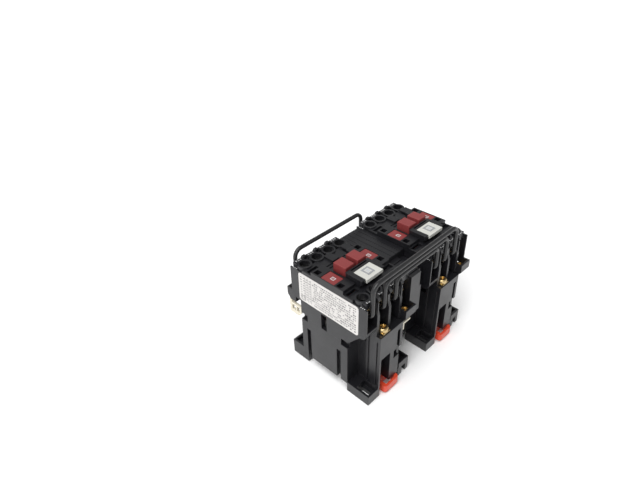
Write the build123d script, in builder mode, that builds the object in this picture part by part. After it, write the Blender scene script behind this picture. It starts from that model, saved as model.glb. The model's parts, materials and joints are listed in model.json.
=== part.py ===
"""Reversing magnetic motor starter: two contactors, a mechanical interlock and jumper wires.

Frame: +Z up, away from the mounting plane at z = 0.  The origin is on that plane, midway
between the two contactors.  X runs along the row of contactors.  -Y is the load end, where
the rail latches are pulled, and +Y is the line end.  Millimetres.

Each contactor is drawn once about its own centre line, x = 0, and placed twice.
"""
import os

from build123d import *

# ------------------------------------------------------------------ driving dimensions
CONTACTOR_WIDTH = 45.0
INTERLOCK_WIDTH = 22.0
HALF_WIDTH = CONTACTOR_WIDTH / 2
PITCH = CONTACTOR_WIDTH + INTERLOCK_WIDTH
SIDES = {"left": -PITCH / 2, "right": PITCH / 2}

FOOT_REACH = 37.0          # feet and end towers, from the middle to each end
UPPER_REACH = 33.4         # upper housing, from the middle to each end
SEAM_Z = 43.5              # where the base meets the upper housing
TOWER_TOP = 54.5
UPPER_Z = 57.0             # underside of the wide upper block
HOUSING_TOP = 82.0
COVER_TOP = 84.0
PAD_TOP = 86.7
MARKER_TOP = 90.0
LUG_TOP = 91.6
CAP_REACH = {-1: 31.0, 1: 32.4}    # marked caps over the wire entries, by end
WALL = 3.0

# Rail channel for a 35 mm top-hat rail
RAIL_SEAT_Z = 7.0
RAIL_FRONT_Y = -17.8
RAIL_BACK_Y = 18.2
RAIL_HOOK = 2.2
FOOT_TOP = 8.0             # rims of the two feet with screw slots
HOOK_FOOT_TOP = 12.5
FOOT_RIM = 1.6
HOOK_LOW_Z = 3.5
HOOK_HIGH_Z = 6.0

# Terminals: four chambers side by side at each end
CHAMBER_COUNT = 4
CHAMBER_PITCH = CONTACTOR_WIDTH / CHAMBER_COUNT
CHAMBER_WIDTH = 9.35
RIB_HALF = 1.15            # half the thickness of the ribs between chambers
CHAMBER_X = [(i - 1.5) * CHAMBER_PITCH for i in range(CHAMBER_COUNT)]
CHAMBER_INNER_Y = 19.0
CHAMBER_FLOOR = 67.4
TERMINAL_Y = 25.0
TERMINAL_Z = 70.4          # underside of the terminal strips
STRIP_THICK = 1.4
STRIP_REACH = 28.9
COIL_POCKET_Y = 33.2
COIL_STRIP_Z = 54.6
COIL_TAB_THICK = 1.2

# Cavity that holds the magnet below and the contacts above
CAVITY_X = 19.2
CAVITY_Y = 16.3
CAVITY_FLOOR = 9.5

# Side windows, where the interlock reaches the carrier
WINDOW_Y = 3.0
WINDOW_WIDTH = 5.0

# Moving contacts
TRAVEL = 4.5
SPINE_HALF_Y = 4.4
BRIDGE_Z = 73.8
FIXED_TIP_TOP = 68.0
TIP_THICK = 1.0
CONTACT_HALF = 2.1

# Magnet
CORE_HALF_X = 18.5
CORE_HALF_Y = 8.0
CORE_LEG = 6.0
CORE_BOTTOM = 10.5
CORE_FACE = 29.0
ARMATURE_FACE = CORE_FACE + TRAVEL + 0.1
ARMATURE_TOP = 48.0
BOBBIN_BOTTOM = 17.0
BOBBIN_TOP = 37.0

# Rail latch
LATCH_TRAVEL = 4.0
LATCH_FRONT_Y = -39.7
LATCH_LOW_Z = 1.6
LATCH_HIGH_Z = 7.4
LATCH_HALF_X = 7.5

# Mechanical interlock between the contactors
INTERLOCK_HALF = INTERLOCK_WIDTH / 2 - 0.1
INTERLOCK_FLOOR = 44.5
INTERLOCK_STEP = 78.5      # top of the lower step at the load end
INTERLOCK_TOP = 80.5
PIVOT_Z = 50.0
PIVOT_RADIUS = 1.5
ROCKER_REACH = 13.4

# Jumper wires
WIRE_RADIUS = 1.5
WIRE_Z = TERMINAL_Z + STRIP_THICK + WIRE_RADIUS + 0.1
CLAMP_Z = WIRE_Z + WIRE_RADIUS + 0.1
CLAMP_THICK = 1.1
SCREW_HEAD = 2.45
WIRE_END_Y = 27.7
LOAD_WIRE_Y = -32.9
LOAD_RUN_Z = (97.0, 93.7, 90.4)
LINE_WIRE_Y = 34.2
LINE_RUN_Z = 91.0
LINE_DROP_Y = 35.4
LINE_RUN_Y = 38.2


# ------------------------------------------------------------------------------ helpers
def save(part, name):
    """Label a finished piece and write its STEP file."""
    part.label = name
    export_step(part, f"parts/{name}.step")


def place(part, name):
    """Write one contactor piece twice, once in each contactor."""
    for side, offset in SIDES.items():
        save(part.moved(Location((offset, 0, 0))), f"{side}_{name}")


def place_shared(part, name):
    """Write small identical pieces of both contactors as one group of solids."""
    copies = [part.moved(Location((offset, 0, 0))) for offset in SIDES.values()]
    solids = [solid for copy in copies for solid in copy.solids()]
    save(Compound(children=solids), name)


def box(x0, x1, y0, y1, z0, z1, mode=Mode.ADD):
    """A box given by its limits, in the part that is being built."""
    with BuildSketch(Plane.XY.offset(z0)) as outline:
        with Locations(((x0 + x1) / 2, (y0 + y1) / 2)):
            Rectangle(x1 - x0, y1 - y0)
    extrude(outline.sketch, amount=z1 - z0, mode=mode)


def rod_z(x, y, radius, z0, z1, mode=Mode.ADD):
    """An upright round bar, or a hole with Mode.SUBTRACT."""
    with BuildSketch(Plane.XY.offset(z0)) as outline:
        with Locations((x, y)):
            Circle(radius)
    extrude(outline.sketch, amount=z1 - z0, mode=mode)


def prism_x(points, x0, x1, mode=Mode.ADD):
    """A flat outline of (y, z) points pushed along X from x0 to x1."""
    with BuildSketch(Plane.YZ.offset(x0)) as outline:
        with BuildLine():
            Polyline(*points, close=True)
        make_face()
    extrude(outline.sketch, amount=x1 - x0, mode=mode)


def coil_spring(radius, wire, height, turns, foot, direction=(0, 0, 1)):
    """A compression spring that stands on a foot point and grows along a direction."""
    with BuildPart() as spring:
        with BuildLine():
            path = Helix(height / turns, height, radius, center=foot, direction=direction)
        with BuildSketch(Plane(origin=path @ 0, z_dir=path % 0)):
            Circle(wire / 2)
        sweep()
    return spring.part


# -------------------------------------------------------------------------------- base
def base_housing():
    """Lower shell: magnet cavity, end towers, feet and the rail channel."""
    with BuildPart() as base:
        with BuildSketch(Plane.XY.offset(RAIL_SEAT_Z)):
            with BuildLine():
                Polyline((-HALF_WIDTH, -18), (-11, -18), (-11, -26), (11, -26), (11, -25),
                         (HALF_WIDTH, -25), (HALF_WIDTH, 18), (11, 18), (11, 26), (-11, 26),
                         (-11, 25), (-HALF_WIDTH, 25), close=True)
            make_face()
        extrude(amount=SEAM_Z - RAIL_SEAT_Z)
        for end in (-1, 1):
            tower_ends = sorted((end * 25.3, end * FOOT_REACH))
            box(*sorted((end * 12.3, -end * 11.0)), *tower_ends, FOOT_TOP, TOWER_TOP)
            low_ends = sorted((end * 18.4, end * 30.0))
            box(-11, 11, *low_ends, 0, FOOT_TOP)
        add_feet()
        cut_magnet_cavity()
        cut_rail_channel()
        cut_latch_channel()
        cut_tower_faces()
        cut_side_slots()
    return base.part


def add_feet():
    """Two tray-shaped feet with screw slots, on one diagonal, and two hooked feet."""
    for end in (-1, 1):
        flat_x = sorted((end * HALF_WIDTH, end * 10.9))
        hook_x = sorted((-end * HALF_WIDTH, -end * 10.9))
        foot_y = sorted((end * 17.6, end * FOOT_REACH))
        hook_y = sorted((end * 20.2, end * 36.0))
        box(*flat_x, *foot_y, 0, FOOT_TOP)
        box(*hook_x, *hook_y, 0.5, HOOK_FOOT_TOP)
        box(*flat_x, *sorted((end * 15.8, end * 18.0)), 0, FOOT_TOP)
        flat_tray = sorted((end * (HALF_WIDTH - FOOT_RIM), end * (10.9 + FOOT_RIM)))
        hook_tray = sorted((-end * (HALF_WIDTH - FOOT_RIM), -end * (10.9 + FOOT_RIM)))
        box(*flat_tray, *sorted((end * 25.2, end * (FOOT_REACH - FOOT_RIM))), 3.2, FOOT_TOP,
            mode=Mode.SUBTRACT)
        box(*hook_tray, *sorted((end * 26.6, end * (36.0 - FOOT_RIM))), 9.2, HOOK_FOOT_TOP,
            mode=Mode.SUBTRACT)
        with BuildSketch(Plane.XY) as slot:
            with Locations((end * 17.5, end * 30.0)):
                SlotOverall(10.0, 4.5, rotation=90)
        extrude(slot.sketch, amount=FOOT_TOP, mode=Mode.SUBTRACT)
        notch_x = sorted((-end * 15.2, -end * 19.4))
        box(*notch_x, *sorted((end * 26.5, end * FOOT_REACH)), 0, 7.2, mode=Mode.SUBTRACT)


def cut_magnet_cavity():
    """The open-topped space for the magnet and its coil."""
    box(-CAVITY_X, CAVITY_X, -CAVITY_Y, CAVITY_Y, CAVITY_FLOOR, SEAM_Z, mode=Mode.SUBTRACT)


def cut_rail_channel():
    """The channel that the mounting rail fills, with a fixed hook along its back edge."""
    box(-HALF_WIDTH, HALF_WIDTH, RAIL_FRONT_Y, RAIL_BACK_Y, 0, RAIL_SEAT_Z, mode=Mode.SUBTRACT)
    for x in (-14.0, 14.0):
        box(x - 5, x + 5, RAIL_BACK_Y - RAIL_HOOK, RAIL_BACK_Y + 1, HOOK_LOW_Z, HOOK_HIGH_Z)


def cut_latch_channel():
    """The slide for the rail latch under the load-end tower, with its side grooves."""
    slide = LATCH_HALF_X + 0.3
    box(-slide, slide, -FOOT_REACH, RAIL_FRONT_Y, 0, LATCH_HIGH_Z + 0.3, mode=Mode.SUBTRACT)
    box(-slide - 1.4, slide + 1.4, -30.2, RAIL_FRONT_Y, 3.4, 5.9, mode=Mode.SUBTRACT)
    box(-2.2, 2.2, -29.0, -27.0, 2.6, 8.5)


def recess(end, x0, x1, z0, z1, depth):
    """A pocket in the tower's end face; x counts toward the hooked foot's side."""
    face = end * FOOT_REACH
    xs = sorted((-end * x0, -end * x1))
    box(*xs, *sorted((face, face - end * depth)), z0, z1, mode=Mode.SUBTRACT)


def cut_tower_faces():
    """Panels, slots and ribs on the two narrow end faces of the base."""
    for end in (-1, 1):
        recess(end, 5.6, 8.6, 33.0, 49.5, 5.0)
        recess(end, -10.7, -1.2, LATCH_HIGH_Z, 34.5, 8.0)
        recess(end, 2.8, 8.6, 26.0, 33.0, 5.0)
        recess(end, 8.6, 11.5, FOOT_TOP, 33.0, 2.0)
        for y0, y1, top in ((27.0, 28.2, 52.0), (34.0, 35.0, 50.0)):
            groove_x = sorted((end * 12.3, end * 11.5))
            box(*groove_x, *sorted((end * y0, end * y1)), 10, top, mode=Mode.SUBTRACT)


def cut_side_slots():
    """Cooling slots and snap windows in the two broad side faces."""
    for side in (-1, 1):
        near = side * HALF_WIDTH
        for y0, y1 in ((-12.0, -8.4), (16.4, 20.0)):
            xs = sorted((near, near - side * 2.8))
            ys = sorted((-side * y0, -side * y1))
            box(*xs, *ys, RAIL_SEAT_Z, 34.0, mode=Mode.SUBTRACT)
        for y0, y1 in ((-18.1, -12.4), (19.0, 25.1)):
            xs = sorted((near, near - side * 2.6))
            ys = sorted((-side * y0, -side * y1))
            box(*xs, *ys, 40.6, SEAM_Z, mode=Mode.SUBTRACT)


# ---------------------------------------------------------------------- upper housing
def upper_housing():
    """Upper shell: contact chamber, terminal chambers and coil terminal cups."""
    with BuildPart() as upper:
        box(-HALF_WIDTH, HALF_WIDTH, -UPPER_REACH, UPPER_REACH, UPPER_Z, HOUSING_TOP)
        fillet(upper.edges().filter_by(Axis.X).group_by(Axis.Z)[0], radius=5)
        box(-HALF_WIDTH, 0, -18, 25, SEAM_Z, UPPER_Z)
        box(0, HALF_WIDTH, -25, 18, SEAM_Z, UPPER_Z)
        add_gussets()
        add_coil_cups()
        box(-CAVITY_X, CAVITY_X, -15.5, 15.5, SEAM_Z, HOUSING_TOP, mode=Mode.SUBTRACT)
        cut_chambers()
        add_partitions()
        cut_upper_sides()
    return upper.part


def add_gussets():
    """Slanted webs that carry the overhanging ends of the side walls."""
    for end in (-1, 1):
        outline = [(end * 17.5, UPPER_Z + 1), (end * 28.5, UPPER_Z + 1), (end * 28.0, UPPER_Z),
                   (end * 17.5, SEAM_Z + 1.5)]
        prism_x(outline, *sorted((end * HALF_WIDTH, end * (HALF_WIDTH - WALL))))


def add_coil_cups():
    """A cup beyond the end face, on one corner of each end, for the outer coil terminal."""
    for end in (-1, 1):
        xs = sorted((-end * 11.5, -end * HALF_WIDTH))
        outline = [(end * 30.0, 52.5), (end * 35.4, 52.5), (end * 38.3, 56.0), (end * 38.3, 62.3),
                   (end * 30.0, 62.3)]
        prism_x(outline, *xs)


def cut_chambers():
    """Open each terminal chamber to its end face and its strip slot to the inside."""
    for end in (-1, 1):
        for index, x in enumerate(CHAMBER_X):
            order = index if end < 0 else CHAMBER_COUNT - 1 - index
            floor = (CHAMBER_FLOOR, TOWER_TOP, TOWER_TOP, COIL_STRIP_Z)[order]
            reach = 36.9 if order == 3 else FOOT_REACH
            half = CHAMBER_WIDTH / 2 if order in (0, 3) else CHAMBER_PITCH / 2
            ys = sorted((end * 26.0, end * reach))
            box(x - half, x + half, *ys, floor, UPPER_Z + 6, mode=Mode.SUBTRACT)
            ys = sorted((end * CHAMBER_INNER_Y, end * 33.6))
            box(x - half, x + half, *ys, max(floor, UPPER_Z + 4), HOUSING_TOP, mode=Mode.SUBTRACT)
            ys = sorted((end * 15.0, end * 19.5))
            box(x - 3.5, x + 3.5, *ys, 65.2, TERMINAL_Z + 2, mode=Mode.SUBTRACT)


def add_partitions():
    """Ribs between the terminals, with hooked tops that stand above the end face."""
    for end in (-1, 1):
        outline = [(end * 17.0, TOWER_TOP + 3), (end * 26.2, TOWER_TOP + 0.1),
                   (end * 33.6, TOWER_TOP + 0.1), (end * 33.6, 72), (end * 32.2, 76),
                   (end * 32.2, 81), (end * 33.9, 83.6), (end * 32.9, 85.6), (end * 30.4, 85.6),
                   (end * 30.4, HOUSING_TOP), (end * 17.0, HOUSING_TOP)]
        for x in (-CHAMBER_PITCH, 0.0, CHAMBER_PITCH):
            prism_x(outline, x - RIB_HALF, x + RIB_HALF)


def cut_upper_sides():
    """Label recess, interlock windows and snap windows in the side walls."""
    for side in (-1, 1):
        near = side * HALF_WIDTH
        xs = sorted((near, near - side * (WALL + 1)))
        ys = (WINDOW_Y - WINDOW_WIDTH / 2, WINDOW_Y + WINDOW_WIDTH / 2)
        box(*xs, *ys, SEAM_Z, 56.5, mode=Mode.SUBTRACT)
        for y0, y1 in ((-18.1, -12.4), (19.0, 25.1)):
            xs = sorted((near, near - side * 2.6))
            ys = sorted((-side * y0, -side * y1))
            box(*xs, *ys, SEAM_Z, 46.2, mode=Mode.SUBTRACT)
    with BuildSketch(Plane.YZ.offset(-HALF_WIDTH)) as recess:
        with Locations((-0.5, 69.5)):
            RectangleRounded(53.0, 23.6, 2.2)
    extrude(recess.sketch, amount=0.3, mode=Mode.SUBTRACT)


# ------------------------------------------------------------------------- front cover
def front_cover():
    """Front plate with terminal collars, two side pads and the carrier opening."""
    with BuildPart() as cover:
        box(-HALF_WIDTH, HALF_WIDTH, -22, 22, HOUSING_TOP, COVER_TOP)
        for end in (-1, 1):
            for x in CHAMBER_X:
                ys = sorted((end * 19.2, end * 30.2))
                box(x - 4.4, x + 4.4, *ys, HOUSING_TOP - 2.4, COVER_TOP - 1)
                rod_z(x, end * TERMINAL_Y, 5.0, COVER_TOP - 2, COVER_TOP + 1)
                rod_z(x, end * TERMINAL_Y, 3.7, 70, 90, mode=Mode.SUBTRACT)
                box(x - 3.8, x + 3.8, *sorted((end * 28.9, end * CAP_REACH[end])),
                    HOUSING_TOP - 1, COVER_TOP + 0.8)
        for side in (-1, 1):
            xs = sorted((side * 11.2, side * HALF_WIDTH))
            box(*xs, -14.3, 13.7, COVER_TOP, PAD_TOP)
            xs = sorted((side * 12.5, side * 22.0))
            box(*xs, -6.2, 5.8, PAD_TOP - 1.6, PAD_TOP, mode=Mode.SUBTRACT)
            for y0, y1 in ((-18.8, -14.9), (14.4, 18.8)):
                xs = sorted((side * 12.4, side * 21.4))
                box(*xs, y0, y1, HOUSING_TOP, COVER_TOP, mode=Mode.SUBTRACT)
            for y in (-9.4, 10.4):
                xs = sorted((side * 17.2, side * 21.4))
                box(*xs, y - 2.1, y + 2.1, HOUSING_TOP + 0.8, PAD_TOP, mode=Mode.SUBTRACT)
        for x0, x1 in ((-2.6, 3.4), (13.4, 19.2)):
            box(x0, x1, 13.0, 21.5, COVER_TOP - 1, COVER_TOP + 1.4)
        box(-10.3, 11.3, -SPINE_HALF_Y - 0.6, 6.8, 70, 90, mode=Mode.SUBTRACT)
        for y in (9.6, 12.2):
            box(-9.0, 9.6, y, y + 1.1, COVER_TOP - 0.7, COVER_TOP, mode=Mode.SUBTRACT)
    return cover.part


def cover_plugs():
    """Two red plugs set flush in the pads of the front cover."""
    with BuildPart() as plugs:
        for side in (-1, 1):
            with BuildSketch(Plane.XY.offset(PAD_TOP - 1.6)):
                with Locations((side * 17.25, -0.2)):
                    RectangleRounded(8.8, 11.3, 0.5)
            extrude(amount=1.4)
    return plugs.part


def marker_frame():
    """Black raised frame behind the carrier lugs that holds the marker plate."""
    with BuildPart() as frame:
        box(-10.9, 11.0, -19.2, -5.4, COVER_TOP, MARKER_TOP)
        fillet(frame.edges().filter_by(Axis.Z), radius=0.8)
        box(-7.4, 8.6, -19.3, -8.8, MARKER_TOP - 1.6, MARKER_TOP, mode=Mode.SUBTRACT)
        box(-7.0, 8.0, -7.4, -6.2, MARKER_TOP - 3, MARKER_TOP, mode=Mode.SUBTRACT)
        box(-11.0, 12.0, -19.3, -17.6, COVER_TOP, MARKER_TOP - 3.4, mode=Mode.SUBTRACT)
    return frame.part


def marker_plate():
    """Off-white plate clipped into the marker frame, with a lip at its free edge."""
    with BuildPart() as plate:
        box(-7.2, 8.4, -19.4, -9.0, MARKER_TOP - 1.6, MARKER_TOP - 0.4)
        box(-7.2, 8.4, -20.3, -19.4, MARKER_TOP - 2.8, MARKER_TOP - 0.4)
        box(-2.6, 3.8, -17.6, -11.0, MARKER_TOP - 0.4, MARKER_TOP - 0.1)
    return plate.part


def rating_label():
    """Printed label in the shallow recess of the side wall."""
    with BuildPart() as label:
        with BuildSketch(Plane.YZ.offset(-HALF_WIDTH + 0.05)):
            with Locations((-0.5, 69.5)):
                RectangleRounded(52.7, 23.3, 2.1)
        extrude(amount=0.25)
    return label.part


# ----------------------------------------------------------------------- moving carrier
def contact_carrier():
    """Red carrier: spine with four contact windows, two push lugs and the magnet yoke."""
    with BuildPart() as carrier:
        box(-18.6, 18.6, -SPINE_HALF_Y, SPINE_HALF_Y, 62, 81.6)
        box(-9.0, 9.0, -SPINE_HALF_Y, SPINE_HALF_Y, 50, 62)
        box(-18.8, 18.8, 0.8, SPINE_HALF_Y, 50.5, 56)
        box(-4.0, 4.0, -9.8, 9.8, ARMATURE_TOP + 0.2, 51)
        box(-2.8, 2.8, -14.8, 14.8, ARMATURE_TOP + 0.2, 50)
        for end in (-1, 1):
            cheek = sorted((end * (CORE_HALF_Y + 0.1), end * 9.8))
            box(-4.0, 4.0, *cheek, 42.9, ARMATURE_TOP + 1)
        for x in CHAMBER_X:
            box(x - 3.3, x + 3.3, -5, 5, BRIDGE_Z - 0.7, 79.4, mode=Mode.SUBTRACT)
            box(x - 1.2, x + 1.2, -SPINE_HALF_Y, SPINE_HALF_Y, BRIDGE_Z - 0.8, BRIDGE_Z - 0.05)
        box(-9.4, -1.0, -SPINE_HALF_Y, 6.0, 80, LUG_TOP)
        box(2.4, 10.6, -SPINE_HALF_Y, 6.0, 80, LUG_TOP)
        top_edges = carrier.edges().group_by(Axis.Z)[-1]
        fillet(top_edges, radius=0.4)
        with BuildSketch(Plane.XZ.offset(-12)):
            with Locations((0, 45)):
                Circle(1.52)
        extrude(amount=24, mode=Mode.SUBTRACT)
    return carrier.part


def contact_bridges():
    """Four bridge contacts with a button at each end."""
    with BuildPart() as bridges:
        for x in CHAMBER_X:
            box(x - CONTACT_HALF, x + CONTACT_HALF, -12, 12, BRIDGE_Z, BRIDGE_Z + 1.2)
            for y in (-10.0, 10.0):
                rod_z(x, y, 1.8, BRIDGE_Z - TIP_THICK, BRIDGE_Z + 0.1)
    return bridges.part


def contact_springs():
    """A short spring over each bridge that presses it down in its window."""
    with BuildPart() as springs:
        for x in CHAMBER_X:
            add(coil_spring(1.5, 0.5, 3.4, 3.5, (x, 0, BRIDGE_Z + 1.6)))
    return springs.part


def armature():
    """Moving half of the laminated magnet, an E with its legs down."""
    with BuildPart() as plate:
        box(-CORE_HALF_X, CORE_HALF_X, -CORE_HALF_Y, CORE_HALF_Y, 42, ARMATURE_TOP)
        box(-5, 5, -CORE_HALF_Y, CORE_HALF_Y, ARMATURE_FACE, 42)
        for side in (-1, 1):
            leg = sorted((side * (CORE_HALF_X - CORE_LEG), side * CORE_HALF_X))
            box(*leg, -CORE_HALF_Y, CORE_HALF_Y, ARMATURE_FACE, 42)
        with BuildSketch(Plane.XZ.offset(-12)):
            with Locations((0, 45)):
                Circle(1.52)
        extrude(amount=24, mode=Mode.SUBTRACT)
    return plate.part


def armature_pin():
    """Cross pin that hangs the armature in the carrier."""
    with BuildPart() as pin:
        with BuildSketch(Plane.XZ.offset(-9.7)):
            with Locations((0, 45)):
                Circle(1.5)
        extrude(amount=19.4)
    return pin.part


def return_springs():
    """Two springs that push the carrier back out from the coil."""
    with BuildPart() as springs:
        for y in (-12.4, 12.4):
            add(coil_spring(1.8, 0.5, 10.4, 6, (0, y, BOBBIN_TOP + 0.4)))
    return springs.part


# -------------------------------------------------------------------------- fixed magnet
def fixed_core():
    """Fixed half of the laminated magnet, slotted for the shading rings."""
    with BuildPart() as core:
        box(-CORE_HALF_X, CORE_HALF_X, -CORE_HALF_Y, CORE_HALF_Y, CORE_BOTTOM, 16.5)
        box(-5, 5, -CORE_HALF_Y, CORE_HALF_Y, 16.5, CORE_FACE)
        for side in (-1, 1):
            leg = sorted((side * (CORE_HALF_X - CORE_LEG), side * CORE_HALF_X))
            box(*leg, -CORE_HALF_Y, CORE_HALF_Y, 16.5, CORE_FACE)
            slot = sorted((side * 15.2, side * 15.8))
            box(*slot, -CORE_HALF_Y, CORE_HALF_Y, 26.8, CORE_FACE, mode=Mode.SUBTRACT)
    return core.part


def shading_rings():
    """Copper rings round the outer halves of the pole faces."""
    with BuildPart() as rings:
        for side in (-1, 1):
            outer = sorted((side * 15.3, side * 18.95))
            inner = sorted((side * 15.7, side * (CORE_HALF_X + 0.05)))
            box(*outer, -CORE_HALF_Y - 0.45, CORE_HALF_Y + 0.45, 27.0, 28.4)
            box(*inner, -CORE_HALF_Y - 0.05, CORE_HALF_Y + 0.05, 27.0, 28.4, mode=Mode.SUBTRACT)
    return rings.part


def core_cushion():
    """Rubber pad under the fixed core."""
    with BuildPart() as cushion:
        box(-17, 17, -7.5, 7.5, CAVITY_FLOOR, CORE_BOTTOM)
    return cushion.part


def coil_bobbin():
    """Bobbin round the middle leg."""
    with BuildPart() as bobbin:
        box(-6.4, 6.4, -9.4, 9.4, BOBBIN_BOTTOM, BOBBIN_TOP)
        box(-12.1, 12.1, -15.6, 15.6, BOBBIN_BOTTOM, BOBBIN_BOTTOM + 1.2)
        box(-12.1, 12.1, -15.6, 15.6, BOBBIN_TOP - 1.2, BOBBIN_TOP)
        box(-5.4, 5.4, -8.4, 8.4, BOBBIN_BOTTOM, BOBBIN_TOP, mode=Mode.SUBTRACT)
    return bobbin.part


def coil_winding():
    """Copper winding, as one closed ring with rounded corners."""
    with BuildPart() as winding:
        with BuildSketch(Plane.XY.offset(BOBBIN_BOTTOM + 1.25)):
            RectangleRounded(22.8, 29.6, 3.5)
            Rectangle(12.9, 18.9, mode=Mode.SUBTRACT)
        extrude(amount=BOBBIN_TOP - BOBBIN_BOTTOM - 2.5)
    return winding.part


def line_coil_marker():
    """Cream clip under the coil cup at the line end, with a window and a raised tongue."""
    with BuildPart() as marker:
        box(-HALF_WIDTH, -20.6, 25.1, 36.6, 41.0, 50.0)
        box(-HALF_WIDTH, -20.6, 34.6, 36.6, 50.0, 52.3)
        box(-HALF_WIDTH, -12.0, 33.6, 36.6, 48.8, 50.0)
        for y0, y1 in ((26.8, 29.6), (30.4, 34.4)):
            box(-HALF_WIDTH, -20.6, y0, y1, 44.0, 48.2, mode=Mode.SUBTRACT)
        with BuildSketch(Plane.YZ.offset(-HALF_WIDTH)) as corner:
            with BuildLine():
                Polyline((25.1, 44.5), (25.1, 41.0), (28.0, 41.0), close=True)
            make_face()
        extrude(corner.sketch, amount=2.0, mode=Mode.SUBTRACT)
    return marker.part


def load_coil_marker():
    """Cream L-shaped clip under the coil cup at the load end."""
    with BuildPart() as marker:
        box(12.4, 20.4, -36.0, -30.4, 49.4, 50.8)
        box(12.4, 13.8, -36.0, -30.4, 44.6, 49.4)
    return marker.part


# ----------------------------------------------------------------------------- terminals
def end_contacts(end):
    """Four stepped strips at one end, each from its terminal to its fixed contact tip."""
    top = TERMINAL_Z + STRIP_THICK
    tip_base = FIXED_TIP_TOP - TIP_THICK
    outline = [(end * STRIP_REACH, TERMINAL_Z), (end * STRIP_REACH, top), (end * 18.4, top),
               (end * 16.4, tip_base), (end * 7.6, tip_base), (end * 7.6, tip_base - STRIP_THICK),
               (end * 17.4, tip_base - STRIP_THICK), (end * 19.4, TERMINAL_Z)]
    with BuildPart() as strips:
        for x in CHAMBER_X:
            prism_x(outline, x - CONTACT_HALF, x + CONTACT_HALF)
            box(x - 3.6, x + 3.6, *sorted((end * 20.2, end * STRIP_REACH)), TERMINAL_Z, top)
            rod_z(x, end * 10.0, 1.8, tip_base - 0.1, FIXED_TIP_TOP)
            rod_z(x, end * TERMINAL_Y, 1.6, TERMINAL_Z, top, mode=Mode.SUBTRACT)
    return strips.part


def terminal_clamps():
    """Ribbed saddle plates that grip the wires under the terminal screws."""
    with BuildPart() as clamps:
        for end in (-1, 1):
            for x in CHAMBER_X:
                ys = sorted((end * 20.2, end * 28.2))
                box(x - 4.1, x + 4.1, *ys, CLAMP_Z, CLAMP_Z + CLAMP_THICK)
                rod_z(x, end * TERMINAL_Y, 2.15, CLAMP_Z, CLAMP_Z + CLAMP_THICK,
                      mode=Mode.SUBTRACT)
    return clamps.part


def terminal_screws():
    """Slotted M4 screws of the eight main and auxiliary terminals."""
    seat = CLAMP_Z + CLAMP_THICK + 0.05
    top = seat + SCREW_HEAD
    with BuildPart() as screws:
        for end in (-1, 1):
            y = end * TERMINAL_Y
            for x in CHAMBER_X:
                rod_z(x, y, 3.3, seat, top)
                rod_z(x, y, 1.55, TERMINAL_Z - 1.4, seat)
                box(x - 3.4, x + 3.4, y - 0.5, y + 0.5, top - 1.1, top, mode=Mode.SUBTRACT)
                box(x - 0.5, x + 0.5, y - 1.9, y + 1.9, top - 1.1, top, mode=Mode.SUBTRACT)
    return screws.part


def coil_terminal_places():
    """Where the coil screws stand: the outer cup and the tower shelf at each end."""
    return [(end, -end * x) for end in (-1, 1) for x in (CHAMBER_X[1], CHAMBER_X[3])]


def coil_terminals():
    """Flat coil terminal tabs in the shelves and cups."""
    with BuildPart() as tabs:
        for end, x in coil_terminal_places():
            ys = sorted((end * 28.6, end * 36.4))
            box(x - 3.4, x + 3.4, *ys, COIL_STRIP_Z, COIL_STRIP_Z + COIL_TAB_THICK)
            rod_z(x, end * COIL_POCKET_Y, 1.6, COIL_STRIP_Z, COIL_STRIP_Z + COIL_TAB_THICK,
                  mode=Mode.SUBTRACT)
    return tabs.part


def coil_terminal_screws():
    """Brass pan-head screws with a cross slot on the coil terminals."""
    seat = COIL_STRIP_Z + COIL_TAB_THICK + 0.05
    top = seat + 2.9
    with BuildPart() as screws:
        for end, x in coil_terminal_places():
            rod_z(x, end * COIL_POCKET_Y, 3.4, seat, top)
        fillet(screws.edges().group_by(Axis.Z)[-1], radius=1.0)
        for end, x in coil_terminal_places():
            y = end * COIL_POCKET_Y
            rod_z(x, y, 1.5, COIL_STRIP_Z, seat)
            rod_z(x, y, 1.9, top - 0.7, top, mode=Mode.SUBTRACT)
            box(x - 0.5, x + 0.5, y - 2.2, y + 2.2, top - 1.5, top, mode=Mode.SUBTRACT)
            box(x - 2.2, x + 2.2, y - 0.5, y + 0.5, top - 1.5, top, mode=Mode.SUBTRACT)
    return screws.part


# ----------------------------------------------------------------------------- rail latch
def din_latch():
    """Sliding rail latch with a pull loop outside the foot and a hook under the rail."""
    with BuildPart() as latch:
        box(-LATCH_HALF_X, LATCH_HALF_X, LATCH_FRONT_Y, -18.2, LATCH_LOW_Z, LATCH_HIGH_Z)
        fillet(latch.edges().filter_by(Axis.Z).group_by(Axis.Y)[0], radius=2.2)
        box(-6.0, 6.0, -18.3, RAIL_FRONT_Y + RAIL_HOOK, HOOK_LOW_Z, HOOK_HIGH_Z)
        box(-8.7, 8.7, -25.6, -18.2, 3.7, 5.6)
        box(-4.7, 4.7, -37.9, -32.2, 0, 9, mode=Mode.SUBTRACT)
        box(-2.6, 2.6, -29.3, -20.4, 0, 9, mode=Mode.SUBTRACT)
    return latch.part


def latch_spring():
    """Spring between the fixed post and the latch, which pushes the latch to the rail."""
    with BuildPart() as spring:
        add(coil_spring(1.6, 0.5, 5.6, 5, (0, -20.8, 4.5), direction=(0, -1, 0)))
    return spring.part


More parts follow.
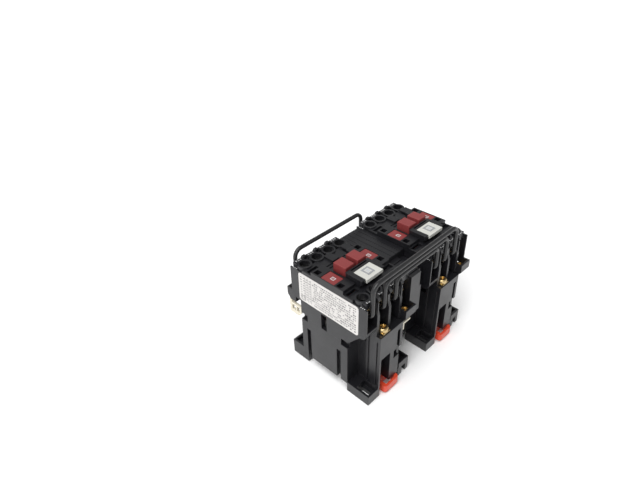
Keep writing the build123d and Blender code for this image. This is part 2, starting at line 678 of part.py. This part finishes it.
# ------------------------------------------------------------------------------ interlock
def interlock_housing():
    """Box between the contactors that holds the rocker, with windows to both sides."""
    half = INTERLOCK_HALF
    with BuildPart() as housing:
        box(-half, half, -10, 31, INTERLOCK_FLOOR, INTERLOCK_TOP)
        box(-half, 4.0, -31, -9, INTERLOCK_FLOOR, INTERLOCK_STEP)
        box(-half, half, -21, -9, INTERLOCK_FLOOR, 76)
        box(2.2, 4.1, -31.1, -29.0, 66, 79, mode=Mode.SUBTRACT)
        for y in (-28.0, -24.5, -21.0, -17.5, -14.0):
            box(-half, 4.0, y - 0.5, y + 0.5, INTERLOCK_STEP - 0.9, INTERLOCK_STEP,
                mode=Mode.SUBTRACT)
        box(-half + 2, half - 2, -7, 28, INTERLOCK_FLOOR + 2, INTERLOCK_TOP, mode=Mode.SUBTRACT)
        box(-half, half, WINDOW_Y - 2.3, WINDOW_Y + 2.3, INTERLOCK_FLOOR + 1, 56,
            mode=Mode.SUBTRACT)
        with BuildSketch(Plane.XZ.offset(10)):
            with Locations((0, PIVOT_Z)):
                Circle(PIVOT_RADIUS + 0.02)
        extrude(amount=-38.5, mode=Mode.SUBTRACT)
    return housing.part


def interlock_cover():
    """Ribbed top cover of the interlock."""
    half = INTERLOCK_HALF
    with BuildPart() as cover:
        box(-half, half, -10, 31, INTERLOCK_TOP, 82.3)
        box(-half + 2.1, half - 2.1, -6.9, 27.9, INTERLOCK_TOP - 1.2, INTERLOCK_TOP)
        for x in (-6.6, -2.2, 2.2, 6.6):
            box(x - 0.25, x + 0.25, -10, 31, 81.9, 82.4, mode=Mode.SUBTRACT)
        box(-half, -half + 5, 6, 8.4, 81.8, 82.4, mode=Mode.SUBTRACT)
    return cover.part


def interlock_rocker():
    """Rocker whose two arms reach through the windows toward the carriers."""
    with BuildPart() as rocker:
        with BuildSketch(Plane.XZ.offset(-WINDOW_Y + 1.9)):
            with Locations((0, PIVOT_Z)):
                Circle(3.4)
            with Locations((0, PIVOT_Z - 0.2)):
                Rectangle(2 * ROCKER_REACH, 2.6)
            with Locations((0, PIVOT_Z)):
                Circle(PIVOT_RADIUS + 0.05, mode=Mode.SUBTRACT)
        extrude(amount=-3.8)
    return rocker.part


def interlock_pin():
    """Steel pivot of the rocker."""
    with BuildPart() as pin:
        with BuildSketch(Plane.XZ.offset(9.5)):
            with Locations((0, PIVOT_Z)):
                Circle(PIVOT_RADIUS)
        extrude(amount=-37.5)
    return pin.part


# ---------------------------------------------------------------------------- jumper wires
def jumper(points, radii):
    """A stiff insulated wire along straight runs joined by tangent arcs."""
    with BuildPart() as wire:
        with BuildLine():
            path = FilletPolyline(*points, radius=radii)
        with BuildSketch(Plane(origin=path @ 0, z_dir=path % 0)):
            Circle(WIRE_RADIUS)
        sweep()
    return wire.part


def jumper_loop(x0, x1, end, run_y, run_z, radii):
    """A jumper from one chamber to another, out along Y and up or down to its run."""
    out_y = end * WIRE_END_Y
    points = [(x0, out_y, WIRE_Z), (x0, run_y, WIRE_Z), (x0, run_y, run_z),
              (x1, run_y, run_z), (x1, run_y, WIRE_Z), (x1, out_y, WIRE_Z)]
    return jumper(points, radii)


def load_jumpers():
    """Three nested loops that swap the outer phases at the load end."""
    loops = {}
    for index, name in enumerate(("outer", "middle", "inner")):
        x0 = SIDES["left"] + CHAMBER_X[index]
        x1 = SIDES["right"] + CHAMBER_X[2 - index]
        bend = 5.5 - index
        loops[name] = jumper_loop(x0, x1, -1, LOAD_WIRE_Y, LOAD_RUN_Z[index],
                                  (3.4, bend, bend, 3.4))
    return loops


def line_jumpers():
    """One tall loop and two low ones that join like phases at the line end."""
    ends = [(SIDES["left"] + x, SIDES["right"] + x) for x in CHAMBER_X]
    flat = [(ends[1][0], WIRE_END_Y, WIRE_Z), (ends[1][0], LINE_RUN_Y, WIRE_Z),
            (ends[1][1], LINE_RUN_Y, WIRE_Z), (ends[1][1], WIRE_END_Y, WIRE_Z)]
    return {
        "tall": jumper_loop(*ends[0], 1, LINE_WIRE_Y, LINE_RUN_Z, (3.4, 5.5, 5.5, 3.4)),
        "middle": jumper(flat, (4.5, 4.5)),
        "low": jumper_loop(*ends[2], 1, LINE_DROP_Y, WIRE_Z - 5.5, (2.6, 2.6, 2.6, 2.6)),
    }


# ---------------------------------------------------------------------------------- write
os.makedirs("parts", exist_ok=True)

PLACED = {
    "base_housing": base_housing(),
    "upper_housing": upper_housing(),
    "front_cover": front_cover(),
    "cover_plugs": cover_plugs(),
    "marker_frame": marker_frame(),
    "marker_plate": marker_plate(),
    "contact_carrier": contact_carrier(),
    "contact_bridges": contact_bridges(),
    "contact_springs": contact_springs(),
    "armature": armature(),
    "armature_pin": armature_pin(),
    "return_springs": return_springs(),
    "fixed_core": fixed_core(),
    "core_cushion": core_cushion(),
    "coil_bobbin": coil_bobbin(),
    "coil_winding": coil_winding(),
    "coil_terminals": coil_terminals(),
    "line_coil_marker": line_coil_marker(),
    "line_contacts": end_contacts(1),
    "load_contacts": end_contacts(-1),
    "din_latch": din_latch(),
    "latch_spring": latch_spring(),
}
for piece_name, piece in PLACED.items():
    place(piece, piece_name)

left = Location((SIDES["left"], 0, 0))
save(rating_label().moved(left), "left_rating_label")
save(load_coil_marker().moved(left), "left_load_coil_marker")

place_shared(shading_rings(), "shading_rings")
place_shared(terminal_clamps(), "terminal_clamps")
place_shared(terminal_screws(), "terminal_screws")
place_shared(coil_terminal_screws(), "coil_terminal_screws")

save(interlock_housing(), "interlock_housing")
save(interlock_cover(), "interlock_cover")
save(interlock_rocker(), "interlock_rocker")
save(interlock_pin(), "interlock_pin")

for loop_name, loop in load_jumpers().items():
    save(loop, f"load_jumper_{loop_name}")
for loop_name, loop in line_jumpers().items():
    save(loop, f"line_jumper_{loop_name}")
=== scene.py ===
"""Looks of the reversing motor starter: moulded plastics, plated metal, printed marks and a studio.

Metres.
"""

import json
import math
import random

import bmesh
import bpy
from mathutils import Matrix, Vector


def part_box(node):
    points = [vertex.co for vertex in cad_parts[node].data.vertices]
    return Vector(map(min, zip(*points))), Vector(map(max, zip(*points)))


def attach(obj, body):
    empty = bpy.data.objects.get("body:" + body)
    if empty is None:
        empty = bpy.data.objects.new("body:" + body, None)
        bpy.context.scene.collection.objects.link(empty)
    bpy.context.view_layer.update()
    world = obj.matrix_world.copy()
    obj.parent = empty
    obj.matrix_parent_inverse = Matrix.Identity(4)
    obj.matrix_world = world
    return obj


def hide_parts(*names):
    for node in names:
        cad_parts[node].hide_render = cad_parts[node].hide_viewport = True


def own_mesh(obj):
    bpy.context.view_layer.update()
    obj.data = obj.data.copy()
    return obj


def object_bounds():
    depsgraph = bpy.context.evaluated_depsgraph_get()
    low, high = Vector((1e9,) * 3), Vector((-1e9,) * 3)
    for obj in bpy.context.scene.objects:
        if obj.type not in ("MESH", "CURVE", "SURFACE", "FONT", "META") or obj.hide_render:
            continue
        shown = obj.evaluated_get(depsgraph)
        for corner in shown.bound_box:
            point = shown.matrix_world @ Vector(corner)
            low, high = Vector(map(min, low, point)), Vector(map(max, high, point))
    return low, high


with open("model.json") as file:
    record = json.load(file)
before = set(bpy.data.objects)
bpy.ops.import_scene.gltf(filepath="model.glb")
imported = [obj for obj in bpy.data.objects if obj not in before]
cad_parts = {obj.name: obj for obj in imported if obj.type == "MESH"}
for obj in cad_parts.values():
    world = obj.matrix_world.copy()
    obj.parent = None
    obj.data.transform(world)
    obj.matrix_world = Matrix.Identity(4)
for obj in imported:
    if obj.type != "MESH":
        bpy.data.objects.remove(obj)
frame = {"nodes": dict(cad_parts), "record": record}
cad_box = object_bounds()

MM = 0.001
SIDES = ("left", "right")
CHAMBER_PITCH = 11.25 * MM
PLUG_X = 17.25 * MM
CAP_TOP = 84.8 * MM
WALL_TOP = 82.0 * MM
INK_THICK = 0.03 * MM
ROOM_AT_FLOOR = 1.0            # brightness of the room at the horizon and overhead
ROOM_ABOVE = 0.42
SPRINGS = {                    # joint, direction of the coil, how far the joint presses it
    "return_springs": ("carrier_slide", (0, 0, 1), 4.5 * MM),
    "latch_spring": ("latch_slide", (0, 1, 0), 4.0 * MM),
}

# ------------------------------------------------------------------- colours, linear RGB
BLACK_PLASTIC = (0.0085, 0.0085, 0.0105)
BLACK_WORN = (0.075, 0.076, 0.082)
RED_PLASTIC = (0.23, 0.036, 0.036)
RED_WORN = (0.42, 0.10, 0.09)
CLIP_PLASTIC = (0.66, 0.062, 0.026)
CLIP_WORN = (0.72, 0.20, 0.12)
CREAM_PLASTIC = (0.74, 0.69, 0.56)
CREAM_WORN = (0.82, 0.79, 0.70)
MARKER_WHITE = (0.60, 0.60, 0.56)
LABEL_WHITE = (0.66, 0.64, 0.62)
LABEL_INK = (0.12, 0.115, 0.12)
MARKER_INK = (0.27, 0.28, 0.30)
MARKER_PAD = (0.48, 0.50, 0.52)
WHITE_INK = (0.55, 0.55, 0.55)
WIRE_BLACK = (0.012, 0.012, 0.013)
BRASS = (0.62, 0.47, 0.24)
STEEL = (0.55, 0.54, 0.52)
CORE_STEEL = (0.33, 0.33, 0.34)
COPPER = (0.62, 0.24, 0.11)
RUBBER = (0.018, 0.018, 0.018)
FLOOR_WHITE = (0.96, 0.96, 0.96)


# ------------------------------------------------------------------------ node helpers
def new_material(name):
    """An empty principled material, with its node tree and its shader."""
    material = bpy.data.materials.new(name)
    material.use_nodes = True
    tree = material.node_tree
    return material, tree, tree.nodes["Principled BSDF"]


def noise(tree, coords, scale, detail=3.0, roughness=0.55):
    """A noise pattern with this many waves in each metre."""
    node = tree.nodes.new("ShaderNodeTexNoise")
    node.inputs["Scale"].default_value = scale
    node.inputs["Detail"].default_value = detail
    node.inputs["Roughness"].default_value = roughness
    tree.links.new(coords, node.inputs["Vector"])
    return node.outputs["Fac"]


def ramp(tree, value, low, high, out_low=0.0, out_high=1.0):
    """Stretches low..high of a value to out_low..out_high."""
    node = tree.nodes.new("ShaderNodeMapRange")
    for socket, number in zip(node.inputs[1:5], (low, high, out_low, out_high)):
        socket.default_value = number
    tree.links.new(value, node.inputs["Value"])
    return node.outputs["Result"]


def math_node(tree, operation, first, second):
    """One sum; each side is a socket or a number."""
    node = tree.nodes.new("ShaderNodeMath")
    node.operation = operation
    for socket, value in zip(node.inputs, (first, second)):
        if isinstance(value, (int, float)):
            socket.default_value = value
        else:
            tree.links.new(value, socket)
    return node.outputs["Value"]


def mix_colour(tree, share, first, second):
    """Blends two colours; each is a socket or an RGB triple."""
    node = tree.nodes.new("ShaderNodeMix")
    node.data_type = "RGBA"
    tree.links.new(share, node.inputs["Factor"])
    for name, value in (("A", first), ("B", second)):
        socket = [s for s in node.inputs if s.name == name and s.type == "RGBA"][0]
        if isinstance(value, tuple):
            socket.default_value = (*value, 1.0)
        else:
            tree.links.new(value, socket)
    return [s for s in node.outputs if s.type == "RGBA"][0]


def object_coords(tree, stretch=None):
    """The point in the object's own frame, in metres, stretched along an axis for grain."""
    coords = tree.nodes.new("ShaderNodeTexCoord").outputs["Object"]
    if stretch is None:
        return coords
    mapping = tree.nodes.new("ShaderNodeMapping")
    mapping.inputs["Scale"].default_value = stretch
    tree.links.new(coords, mapping.inputs["Vector"])
    return mapping.outputs["Vector"]


def soft_edges(tree, radius):
    """A normal that rounds every edge to this radius."""
    node = tree.nodes.new("ShaderNodeBevel")
    node.samples = 6
    node.inputs["Radius"].default_value = radius
    return node.outputs["Normal"]


def edge_mask(tree, rounded, low=0.02, high=0.25):
    """1 along edges and 0 on flats, from how far the rounded normal leans over."""
    geometry = tree.nodes.new("ShaderNodeNewGeometry")
    dot = tree.nodes.new("ShaderNodeVectorMath")
    dot.operation = "DOT_PRODUCT"
    tree.links.new(geometry.outputs["Normal"], dot.inputs[0])
    tree.links.new(rounded, dot.inputs[1])
    lean = math_node(tree, "SUBTRACT", 1.0, dot.outputs["Value"])
    return ramp(tree, lean, low, high)


def bump(tree, height, strength, distance, normal=None):
    """Relief from a height pattern, on top of another normal."""
    node = tree.nodes.new("ShaderNodeBump")
    node.inputs["Strength"].default_value = strength
    node.inputs["Distance"].default_value = distance
    tree.links.new(height, node.inputs["Height"])
    if normal is not None:
        tree.links.new(normal, node.inputs["Normal"])
    return node.outputs["Normal"]


# --------------------------------------------------------------------------- materials
def moulded_plastic(name, colour, worn, roughness, grain=0.25, edge=0.25 * MM, dust=0.0,
                    shine=0.5):
    """Injection-moulded plastic: fine pitted skin, cloudy sheen, paler rubbed edges."""
    material, tree, shader = new_material(name)
    shader.inputs["Specular IOR Level"].default_value = shine
    coords = object_coords(tree)
    rounded = soft_edges(tree, edge)
    cloud = noise(tree, coords, 55.0, detail=4.0)
    pits = noise(tree, coords, 2600.0, detail=2.0)
    scuff = noise(tree, coords, 420.0, detail=5.0, roughness=0.7)
    shade = mix_colour(tree, ramp(tree, cloud, 0.3, 0.7, 0.0, 0.35), colour,
                       tuple(0.72 * c for c in colour))
    rub = math_node(tree, "MULTIPLY", edge_mask(tree, rounded), ramp(tree, scuff, 0.42, 0.62))
    shade = mix_colour(tree, math_node(tree, "MULTIPLY", rub, 0.55), shade, worn)
    if dust:
        specks = ramp(tree, scuff, 0.60, 0.74, 0.0, dust)
        shade = mix_colour(tree, specks, shade, worn)
    tree.links.new(shade, shader.inputs["Base Color"])
    tree.links.new(ramp(tree, cloud, 0.3, 0.7, roughness - 0.05, roughness + 0.08),
                   shader.inputs["Roughness"])
    tree.links.new(bump(tree, pits, grain, 0.03 * MM, rounded), shader.inputs["Normal"])
    return material


def printed_film(name, colour):
    """Printed plastic film: nearly white, faintly mottled, slightly wavy."""
    material, tree, shader = new_material(name)
    coords = object_coords(tree)
    cloud = noise(tree, coords, 120.0)
    shade = mix_colour(tree, ramp(tree, cloud, 0.35, 0.65, 0.0, 0.5), colour,
                       tuple(0.93 * c for c in colour))
    tree.links.new(shade, shader.inputs["Base Color"])
    tree.links.new(ramp(tree, cloud, 0.3, 0.7, 0.42, 0.55), shader.inputs["Roughness"])
    wave = bump(tree, cloud, 0.25, 0.05 * MM, soft_edges(tree, 0.1 * MM))
    tree.links.new(wave, shader.inputs["Normal"])
    return material


def ink(name, colour, cover=0.85, under=None):
    """Pad-printed ink, with tiny gaps where the skin below shows through."""
    material, tree, shader = new_material(name)
    coords = object_coords(tree)
    flecks = noise(tree, coords, 3200.0, detail=3.0)
    below = under or colour
    shade = mix_colour(tree, ramp(tree, flecks, 0.30, 0.45, 1.0 - cover, 1.0), below, colour)
    tree.links.new(shade, shader.inputs["Base Color"])
    tree.links.new(ramp(tree, flecks, 0.3, 0.7, 0.5, 0.65), shader.inputs["Roughness"])
    return material


def metal(name, colour, roughness, stretch=(1, 1, 1), tarnish=0.35, edge=0.12 * MM):
    """Bare or plated metal: drawn marks along the stretch, patchy dull spots."""
    material, tree, shader = new_material(name)
    lines = noise(tree, object_coords(tree, stretch), 900.0, detail=4.0, roughness=0.65)
    patches = noise(tree, object_coords(tree), 260.0, detail=4.0)
    dark = tuple(0.55 * c for c in colour)
    shade = mix_colour(tree, ramp(tree, patches, 0.42, 0.68, 0.0, tarnish), colour, dark)
    tree.links.new(shade, shader.inputs["Base Color"])
    shader.inputs["Metallic"].default_value = 1.0
    tree.links.new(ramp(tree, lines, 0.3, 0.7, roughness - 0.07, roughness + 0.12),
                   shader.inputs["Roughness"])
    tree.links.new(bump(tree, lines, 0.22, 0.02 * MM, soft_edges(tree, edge)),
                   shader.inputs["Normal"])
    return material


def laminated_steel(name, pitch=0.5 * MM):
    """A stack of thin steel sheets along Y, with dark lines between them."""
    material, tree, shader = new_material(name)
    split = tree.nodes.new("ShaderNodeSeparateXYZ")
    tree.links.new(object_coords(tree), split.inputs["Vector"])
    phase = math_node(tree, "MULTIPLY", split.outputs["Y"], math.tau / pitch)
    wave = math_node(tree, "SINE", phase, 0.0)
    gap = ramp(tree, wave, 0.75, 0.98)
    patches = noise(tree, object_coords(tree), 300.0)
    shade = mix_colour(tree, ramp(tree, patches, 0.35, 0.7, 0.0, 0.6), CORE_STEEL,
                       (0.20, 0.17, 0.14))
    shade = mix_colour(tree, gap, shade, (0.05, 0.045, 0.04))
    tree.links.new(shade, shader.inputs["Base Color"])
    shader.inputs["Metallic"].default_value = 0.9
    tree.links.new(ramp(tree, patches, 0.3, 0.7, 0.35, 0.6), shader.inputs["Roughness"])
    tree.links.new(bump(tree, wave, 0.3, 0.04 * MM), shader.inputs["Normal"])
    return material


def wound_copper(name, pitch=0.42 * MM):
    """Enamelled wire laid in even turns round the Z axis, under a coat of varnish."""
    material, tree, shader = new_material(name)
    split = tree.nodes.new("ShaderNodeSeparateXYZ")
    tree.links.new(object_coords(tree), split.inputs["Vector"])
    phase = math_node(tree, "MULTIPLY", split.outputs["Z"], math.tau / pitch)
    wave = math_node(tree, "SINE", phase, 0.0)
    patches = noise(tree, object_coords(tree), 350.0)
    shade = mix_colour(tree, ramp(tree, patches, 0.35, 0.7, 0.0, 0.5), COPPER,
                       (0.36, 0.11, 0.05))
    tree.links.new(shade, shader.inputs["Base Color"])
    shader.inputs["Metallic"].default_value = 0.85
    shader.inputs["Coat Weight"].default_value = 0.4
    tree.links.new(ramp(tree, patches, 0.3, 0.7, 0.3, 0.45), shader.inputs["Roughness"])
    tree.links.new(bump(tree, wave, 0.8, 0.1 * MM), shader.inputs["Normal"])
    return material


def wire_sleeve(name):
    """Extruded PVC insulation: soft gloss, faint scuffs along the wire."""
    material, tree, shader = new_material(name)
    coords = object_coords(tree)
    scuff = noise(tree, coords, 500.0, detail=5.0, roughness=0.7)
    shade = mix_colour(tree, ramp(tree, scuff, 0.55, 0.75, 0.0, 0.5), WIRE_BLACK,
                       (0.035, 0.035, 0.035))
    tree.links.new(shade, shader.inputs["Base Color"])
    tree.links.new(ramp(tree, scuff, 0.3, 0.7, 0.24, 0.42), shader.inputs["Roughness"])
    tree.links.new(bump(tree, noise(tree, coords, 900.0), 0.12, 0.03 * MM),
                   shader.inputs["Normal"])
    return material


def floor_paper(name):
    """Seamless studio paper, with the faintest tooth."""
    material, tree, shader = new_material(name)
    coords = object_coords(tree)
    tooth = noise(tree, coords, 500.0)
    shade = mix_colour(tree, ramp(tree, tooth, 0.3, 0.7), FLOOR_WHITE,
                       tuple(0.985 * c for c in FLOOR_WHITE))
    tree.links.new(shade, shader.inputs["Base Color"])
    shader.inputs["Roughness"].default_value = 0.8
    shader.inputs["Specular IOR Level"].default_value = 0.2
    return material


MATERIALS = {
    "black_plastic": moulded_plastic("black_plastic", BLACK_PLASTIC, BLACK_WORN, 0.34,
                                     dust=0.10, shine=0.55),
    "red_plastic": moulded_plastic("red_plastic", RED_PLASTIC, RED_WORN, 0.40, dust=0.10),
    "latch_plastic": moulded_plastic("latch_plastic", CLIP_PLASTIC, CLIP_WORN, 0.36,
                                     dust=0.08),
    "cream_plastic": moulded_plastic("cream_plastic", CREAM_PLASTIC, CREAM_WORN, 0.45),
    "marker_white": moulded_plastic("marker_white", MARKER_WHITE, (0.9, 0.9, 0.86), 0.32),
    "label": printed_film("label_film", LABEL_WHITE),
    "brass": metal("brass", BRASS, 0.26),
    "steel": metal("zinc_plated_steel", STEEL, 0.30),
    "core_steel": laminated_steel("laminated_core"),
    "copper": wound_copper("wound_copper"),
    "rubber": moulded_plastic("rubber", RUBBER, (0.04, 0.04, 0.04), 0.75, grain=0.5),
    "wire_black": wire_sleeve("wire_sleeve"),
}


INKS = {
    "label": ink("label_ink", LABEL_INK, cover=0.7, under=LABEL_WHITE),
    "white": ink("white_ink", WHITE_INK, cover=0.8, under=(0.3, 0.3, 0.3)),
    "marker": ink("marker_ink", MARKER_INK, under=MARKER_WHITE),
    "pad": ink("marker_pad", MARKER_PAD, under=MARKER_WHITE),
}


def dress_cad_nodes():
    """Gives every CAD piece the material of its slot in the record."""
    slots = {row["node"]: row["material_slot"] for row in frame["record"]["subparts"]}
    for name, thing in frame["nodes"].items():
        thing.data.materials.clear()
        thing.data.materials.append(MATERIALS[slots[name]])


# ----------------------------------------------------------------------- mesh helpers
def finish_piece(mesh_maker, name, material, body):
    """Turns a bmesh into an object that rides on a body."""
    data = bpy.data.meshes.new(name)
    mesh_maker.to_mesh(data)
    mesh_maker.free()
    thing = bpy.data.objects.new(name, data)
    bpy.context.scene.collection.objects.link(thing)
    data.materials.append(material)
    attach(thing, body)
    return thing


def add_slab(shape, low, high):
    """A small rectangular slab between two opposite corners."""
    centre = [(a + b) / 2 for a, b in zip(low, high)]
    size = [b - a for a, b in zip(low, high)]
    place = Matrix.Translation(centre) @ Matrix.Diagonal((*size, 1.0))
    bmesh.ops.create_cube(shape, size=1.0, matrix=place)


def add_springs():
    """Copies of the springs, riding on the housing, in place of the rigid ones."""
    for side in SIDES:
        for name, (joint, axis, travel) in SPRINGS.items():
            node = f"{side}_{name}"
            spring = bpy.data.objects.new(f"{side}_sprung_{name}",
                                          frame["nodes"][node].data.copy())
            bpy.context.scene.collection.objects.link(spring)
            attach(spring, "housing")
            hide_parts(node)
            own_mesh(spring)


# ------------------------------------------------------------------------------ prints
def label_strokes():
    """Rows of short dashes and a ruled column, as (y0, y1, z0, z1) in mm from the label's middle."""
    luck = random.Random(7)
    strokes = []
    for row in range(11):
        z = 9.6 - 1.86 * row
        y = -24.4
        while y < 12.6:
            long = luck.uniform(0.5, 1.5)
            tall = luck.uniform(0.6, 1.1)
            if luck.random() < 0.84:
                strokes.append((y, y + long, z - tall, z))
            y += long + luck.uniform(0.35, 0.8)
    for y in (14.6, 17.3, 20.0):
        strokes.append((y, y + 0.25, -9.9, 9.9))
    for column in range(4):
        y = 15.2 + 2.7 * column
        for row in range(9):
            z = 9.0 - 2.1 * row
            strokes.append((y, y + luck.uniform(0.9, 1.7), z - 0.6, z))
    for side in range(2):
        strokes.append((20.6, 24.2, -10.2 + 3.2 * side, -9.8 + 3.2 * side))
        strokes.append((20.6 + 3.2 * side, 21.0 + 3.2 * side, -10.2, -6.6))
    return strokes


def add_label_print():
    """Small gray print on the film at the side of the left contactor."""
    low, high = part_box("left_rating_label")
    middle_y = (low[1] + high[1]) / 2
    middle_z = (low[2] + high[2]) / 2
    shape = bmesh.new()
    for y0, y1, z0, z1 in label_strokes():
        add_slab(shape, (low[0] - INK_THICK, middle_y + y0 * MM, middle_z + z0 * MM),
                 (low[0], middle_y + y1 * MM, middle_z + z1 * MM))
    finish_piece(shape, "label_print", INKS["label"], "housing")


def add_plug_marks():
    """A small pale mark, a square ring round a dot, on each red plug of the covers."""
    for side in SIDES:
        low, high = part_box(f"{side}_cover_plugs")
        middle = (low[0] + high[0]) / 2
        top = high[2]
        shape = bmesh.new()
        for sign in (-1, 1):
            x = middle + sign * PLUG_X
            for x0, x1, y0, y1 in ((-1.4, -0.9, -2.6, 0.4), (0.9, 1.4, -2.6, 0.4),
                                   (-0.9, 0.9, -2.6, -2.1), (-0.9, 0.9, -0.1, 0.4),
                                   (-0.3, 0.3, -1.4, -0.8)):
                add_slab(shape, (x + x0 * MM, y0 * MM, top),
                         (x + x1 * MM, y1 * MM, top + INK_THICK))
        finish_piece(shape, f"{side}_plug_marks", INKS["white"], "housing")


def add_cap_marks():
    """A short white bar and a dot on the cap over each wire entry."""
    for side in SIDES:
        low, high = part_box(f"{side}_front_cover")
        middle = (low[0] + high[0]) / 2
        shape = bmesh.new()
        for end, reach in ((-1, 31.0), (1, 32.4)):
            for number in range(4):
                x = middle + (number - 1.5) * CHAMBER_PITCH
                near, far = sorted((end * (reach - 2.0) * MM, end * (reach - 0.2) * MM))
                for left, right, front, back in ((-2.3, -1.7, near, far),
                                                 (-0.9, 0.7, near, near + 0.5 * MM),
                                                 (-0.9, 0.7, far - 0.5 * MM, far),
                                                 (1.5, 2.1, near, far)):
                    add_slab(shape, (x + left * MM, front, CAP_TOP),
                             (x + right * MM, back, CAP_TOP + INK_THICK))
        finish_piece(shape, f"{side}_cap_marks", INKS["white"], "housing")


def add_wall_marks():
    """Three short white strokes near each end of the side wall's top edge."""
    for side in SIDES:
        low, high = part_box(f"{side}_upper_housing")
        shape = bmesh.new()
        for y in (-30.9, -29.5, -28.1, 28.1, 29.5, 30.9):
            add_slab(shape, (low[0] + 0.35 * MM, (y - 0.35) * MM, WALL_TOP),
                     (low[0] + 1.15 * MM, (y + 0.35) * MM, WALL_TOP + INK_THICK))
        finish_piece(shape, f"{side}_wall_marks", INKS["white"], "housing")


def add_marker_print():
    """A gray square outline and a pale centre on each marker plate."""
    for side in SIDES:
        low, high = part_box(f"{side}_marker_plate")
        middle_x = (low[0] + high[0]) / 2
        top = high[2]
        outline = bmesh.new()
        left, right = middle_x - 3.2 * MM, middle_x + 3.2 * MM
        front, back = -17.6 * MM, -11.0 * MM
        line = 1.3 * MM
        add_slab(outline, (left, front, top), (right, front + line, top + INK_THICK))
        add_slab(outline, (left, back - line, top), (right, back, top + INK_THICK))
        add_slab(outline, (left, front + line, top), (left + line, back - line, top + INK_THICK))
        add_slab(outline, (right - line, front + line, top),
                 (right, back - line, top + INK_THICK))
        finish_piece(outline, f"{side}_marker_outline", INKS["marker"], "housing")
        pad = bmesh.new()
        add_slab(pad, (left + 2.0 * MM, front + 2.0 * MM, top),
                 (right - 2.0 * MM, back - 2.0 * MM, top + INK_THICK))
        finish_piece(pad, f"{side}_marker_pad", INKS["pad"], "housing")


# ------------------------------------------------------------------------- stage and camera
def add_camera():
    """The photograph's camera: where it stood, which way it looked and its angle of view."""
    forward = Vector((0.5798, 0.5982, -0.5532))
    level_right = forward.cross(Vector((0, 0, 1))).normalized()
    roll = math.radians(2.02)
    right = Matrix.Rotation(roll, 3, forward) @ level_right
    up = right.cross(forward)
    data = bpy.data.cameras.new("camera")
    data.sensor_width = 36.0
    data.lens = 27.1
    data.clip_start = 0.01
    data.clip_end = 20.0
    camera = bpy.data.objects.new("camera", data)
    camera.matrix_world = Matrix((
        (right.x, up.x, -forward.x, -0.2214),
        (right.y, up.y, -forward.y, -0.1667),
        (right.z, up.z, -forward.z, 0.2738),
        (0, 0, 0, 1),
    ))
    bpy.context.scene.collection.objects.link(camera)
    bpy.context.scene.camera = camera


def add_sun(name, place, strength, spread):
    """Even light from the direction of a place, softened over an angle in degrees."""
    data = bpy.data.lights.new(name, "SUN")
    data.energy = strength
    data.angle = math.radians(spread)
    lamp = bpy.data.objects.new(name, data)
    lamp.location = place
    lamp.rotation_euler = Vector(place).to_track_quat("Z", "Y").to_euler()
    bpy.context.scene.collection.objects.link(lamp)


def add_stage():
    """A white floor that reaches past every view, soft lamps and a white room."""
    shape = bmesh.new()
    bmesh.ops.create_grid(shape, x_segments=24, y_segments=24, size=4.0)
    data = bpy.data.meshes.new("floor")
    shape.to_mesh(data)
    shape.free()
    floor = bpy.data.objects.new("floor", data)
    bpy.context.scene.collection.objects.link(floor)
    floor.location = (0, 0, cad_box[0].z - 0.05 * MM)
    data.materials.append(floor_paper("floor_paper"))

    world = bpy.data.worlds.new("world")
    bpy.context.scene.world = world
    world.use_nodes = True
    tree = world.node_tree
    background = tree.nodes["Background"]
    background.inputs["Color"].default_value = (1, 1, 1, 1)
    split = tree.nodes.new("ShaderNodeSeparateXYZ")
    tree.links.new(tree.nodes.new("ShaderNodeTexCoord").outputs["Generated"],
                   split.inputs["Vector"])
    tree.links.new(ramp(tree, split.outputs["Z"], 0.04, 0.34, ROOM_AT_FLOOR, ROOM_ABOVE),
                   background.inputs["Strength"])
    add_sun("key", (-0.75, -0.15, 0.70), 1.4, 35)
    add_sun("top", (-0.25, -0.05, 1.0), 1.8, 40)
    bpy.context.scene.view_settings.view_transform = "Standard"


add_camera()
add_stage()
dress_cad_nodes()
add_springs()
add_label_print()
add_plug_marks()
add_cap_marks()
add_wall_marks()
add_marker_print()
